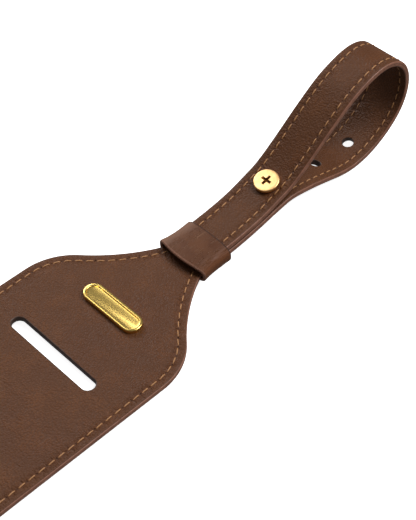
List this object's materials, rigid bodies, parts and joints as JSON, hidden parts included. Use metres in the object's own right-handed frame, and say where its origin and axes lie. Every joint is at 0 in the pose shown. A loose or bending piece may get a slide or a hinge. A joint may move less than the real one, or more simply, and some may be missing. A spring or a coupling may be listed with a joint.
{
  "type": "luggage tag",
  "caption": "Sewn leather luggage tag: a long panel with a cross slot and a rear card pocket, narrowing to a looped strap held by a keeper and a two-part screw.",
  "frame": {"origin": "under the middle of the tag's length and width, on the surface that it lies on", "axes": "+X along the tag towards the strap's loop, +Z out of the panel's front face, +Y to the left of +X seen from the front"},
  "size_m": [0.253, 0.064, 0.0389],
  "materials": {
    "leather": "fine-grained brown calf leather, satin",
    "lining_leather": "brown leather, satin",
    "thread": "waxed tan thread",
    "board": "fibre board",
    "clear_film": "clear soft film",
    "card_stock": "plain off-white card",
    "gold_metal": "satin to polished gold plating",
    "steel": "plain zinc plate"
  },
  "bodies": {
    "panel": {"panel_front_leather": "leather", "panel_back_leather": "lining_leather", "panel_stiffener": "board", "panel_front_thread": "thread", "panel_back_thread": "thread", "emblem": "gold_metal", "emblem_backing_plate": "steel", "pocket_frame": "lining_leather", "pocket_thread": "thread", "window_film": "clear_film"},
    "card": {"id_card": "card_stock"},
    "strap": {"strap_inner_leather": "leather", "strap_outer_leather": "lining_leather", "strap_inner_thread": "thread", "strap_outer_thread": "thread"},
    "keeper": {"keeper_band": "leather", "keeper_thread": "thread"},
    "screw": {"chicago_screw": "gold_metal"},
    "post": {"chicago_post": "gold_metal"}
  },
  "joints": [
    {"name": "neck_bend", "type": "hinge", "parent": "panel", "child": "strap", "pos_m": [0.01956, 0, 0.00285], "axis": [0, -1, 0], "range_deg": [-45, 75], "stiffness_Nm_per_rad": 0.05},
    {"name": "keeper_slide", "type": "hinge", "parent": "strap", "child": "keeper", "pos_m": [0.02956, 0, 0.13285], "axis": [0, -1, 0], "range_deg": [0, 6.2]},
    {"name": "card_slide", "type": "slide", "parent": "panel", "child": "card", "axis": [1, 0, 0], "range_m": [0, 0.055]},
    {"name": "post_back_off", "type": "slide", "parent": "strap", "child": "post", "axis": [0.2815, 0, -0.9596], "range_m": [0, 0.0035]},
    {"name": "screw_turn", "type": "hinge", "parent": "strap", "child": "screw", "pos_m": [0.06566, 0, 0.00735], "axis": [-0.2815, 0, 0.9596], "range_deg": [0, 1810]}
  ],
  "couplings": [
    {"joint": "screw_turn", "follows": "post_back_off", "rad_per_m": 8976}
  ]
}
